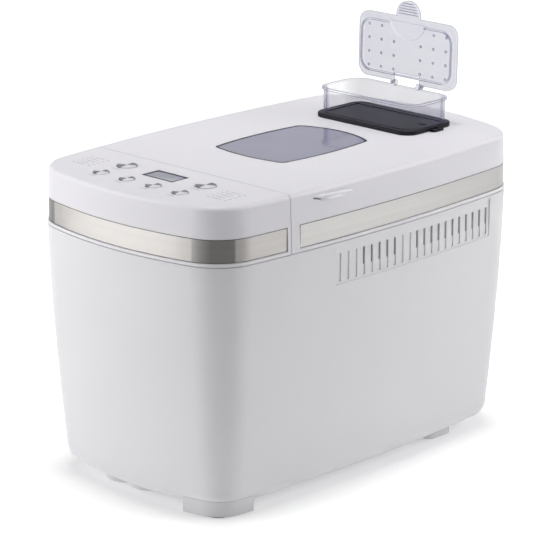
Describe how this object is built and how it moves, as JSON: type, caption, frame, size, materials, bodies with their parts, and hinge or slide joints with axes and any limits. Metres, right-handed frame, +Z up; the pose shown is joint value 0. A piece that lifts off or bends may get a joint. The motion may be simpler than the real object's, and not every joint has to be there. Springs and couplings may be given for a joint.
{
  "type": "bread machine",
  "caption": "White bread maker with a front control panel, steel trim band, rear-hinged lid with window and clear flip-top ingredient dispenser, long pan and belt-driven kneading paddles.",
  "frame": {"origin": "on the table, below the middle of the body", "axes": "+X to the right seen from the control panel, -Y to the front (control panel), +Z up"},
  "size_m": [0.2664, 0.438, 0.4075],
  "materials": {
    "white_shell": "gloss",
    "grey_plastic": "matte",
    "trim_steel": "brushed",
    "button_metal": "spun",
    "window_tint": "gloss",
    "clear_glass": "gloss",
    "display_glass": "gloss",
    "display_dark": "matte",
    "circuit_board": "satin",
    "clear_plastic": "gloss",
    "black_plastic": "gloss",
    "white_inner": "satin",
    "liner_metal": "satin",
    "rubber": "matte",
    "sheet_steel": "satin",
    "cast_alloy": "cast",
    "bearing_brass": "satin",
    "coated_alloy": "non-stick coat"
  },
  "bodies": {
    "base": {"bearing_housings": "bearing_brass", "bottom_cover": "grey_plastic", "bottom_screws": "sheet_steel", "bread_pan": "coated_alloy", "chassis_plate": "sheet_steel", "control_board": "circuit_board", "display_lens": "display_glass", "display_module": "display_dark", "drive_belt": "rubber", "element_clips": "sheet_steel", "feet": "white_shell", "foot_pads": "rubber", "front_top_cover": "white_shell", "front_trim_band": "trim_steel", "heating_element": "sheet_steel", "hinge_brackets": "sheet_steel", "hinge_pins": "sheet_steel", "inner_deck": "white_inner", "link_belt": "rubber", "lower_housing": "white_shell", "motor_end_bells": "cast_alloy", "motor_stator": "sheet_steel", "oven_liner": "liner_metal", "pan_bushes": "bearing_brass", "pan_sockets": "grey_plastic", "power_board": "circuit_board", "power_inlet": "display_dark", "tact_switches": "display_dark", "temperature_sensor": "bearing_brass"},
    "lid": {"lid_shell": "white_shell", "lid_trim_band": "trim_steel", "lid_liner": "liner_metal", "lid_gasket": "rubber", "window_glass": "window_tint", "window_frame": "grey_plastic", "inner_window": "clear_glass", "dispenser_chute": "white_inner", "dispenser_solenoid": "sheet_steel"},
    "dispenser": {"dispenser_tray": "black_plastic", "dispenser_box": "clear_plastic"},
    "dispenser_lid": {"dispenser_lid": "clear_plastic"},
    "dispenser_flap": {"dispenser_flap": "black_plastic"},
    "flap_catch": {"flap_catch": "black_plastic"},
    "menu_button": {"menu_button": "button_metal"},
    "loaf_button": {"loaf_button": "button_metal"},
    "colour_button": {"colour_button": "button_metal"},
    "light_button": {"light_button": "button_metal"},
    "timer_button": {"timer_button": "button_metal"},
    "start_button": {"start_button": "button_metal"},
    "front_drive": {"front_drive_shaft": "sheet_steel", "front_pulley": "cast_alloy", "front_pan_shaft": "sheet_steel", "front_paddle": "coated_alloy"},
    "rear_drive": {"rear_drive_shaft": "sheet_steel", "rear_pulley": "cast_alloy", "rear_pan_shaft": "sheet_steel", "rear_paddle": "coated_alloy"},
    "motor": {"motor_rotor": "sheet_steel", "motor_pulley": "cast_alloy"},
    "pan_handle": {"pan_handle": "sheet_steel"}
  },
  "joints": [
    {"name": "lid_hinge", "type": "hinge", "parent": "base", "child": "lid", "pos_m": [0, 0.21, 0.2496], "axis": [-1, 0, 0], "range_deg": [0, 88]},
    {"name": "dispenser_lift", "type": "slide", "parent": "lid", "child": "dispenser", "axis": [0, 0, 1], "range_m": [0, 0.045]},
    {"name": "dispenser_lid_hinge", "type": "hinge", "parent": "dispenser", "child": "dispenser_lid", "pos_m": [0, 0.1763, 0.325], "axis": [1, 0, 0], "range_deg": [0, 91.5]},
    {"name": "dispenser_flap_hinge", "type": "hinge", "parent": "dispenser", "child": "dispenser_flap", "pos_m": [0, 0.1635, 0.2974], "axis": [1, 0, 0], "range_deg": [0, 75]},
    {"name": "flap_catch_slide", "type": "slide", "parent": "dispenser", "child": "flap_catch", "axis": [-1, 0, 0], "range_m": [0, 0.004]},
    {"name": "menu_button_press", "type": "slide", "parent": "base", "child": "menu_button", "axis": [0, 0, -1], "range_m": [0, 0.001], "stiffness_N_per_m": 400},
    {"name": "loaf_button_press", "type": "slide", "parent": "base", "child": "loaf_button", "axis": [0, 0, -1], "range_m": [0, 0.001], "stiffness_N_per_m": 400},
    {"name": "colour_button_press", "type": "slide", "parent": "base", "child": "colour_button", "axis": [0, 0, -1], "range_m": [0, 0.001], "stiffness_N_per_m": 400},
    {"name": "light_button_press", "type": "slide", "parent": "base", "child": "light_button", "axis": [0, 0, -1], "range_m": [0, 0.001], "stiffness_N_per_m": 400},
    {"name": "timer_button_press", "type": "slide", "parent": "base", "child": "timer_button", "axis": [0, 0, -1], "range_m": [0, 0.001], "stiffness_N_per_m": 400},
    {"name": "start_button_press", "type": "slide", "parent": "base", "child": "start_button", "axis": [0, 0, -1], "range_m": [0, 0.001], "stiffness_N_per_m": 400},
    {"name": "motor_spin", "type": "hinge", "parent": "base", "child": "motor", "pos_m": [0, -0.16, 0.07], "axis": [0, 0, 1], "continuous": true},
    {"name": "front_drive_spin", "type": "hinge", "parent": "base", "child": "front_drive", "pos_m": [0, -0.015, 0.07], "axis": [0, 0, 1], "continuous": true},
    {"name": "rear_drive_spin", "type": "hinge", "parent": "base", "child": "rear_drive", "pos_m": [0, 0.105, 0.07], "axis": [0, 0, 1], "continuous": true},
    {"name": "pan_handle_hinge", "type": "hinge", "parent": "base", "child": "pan_handle", "pos_m": [0, 0.045, 0.2], "axis": [0, -1, 0], "range_deg": [0, 30]}
  ],
  "couplings": [
    {"joint": "front_drive_spin", "follows": "motor_spin", "ratio": 0.225},
    {"joint": "rear_drive_spin", "follows": "motor_spin", "ratio": 0.225}
  ]
}
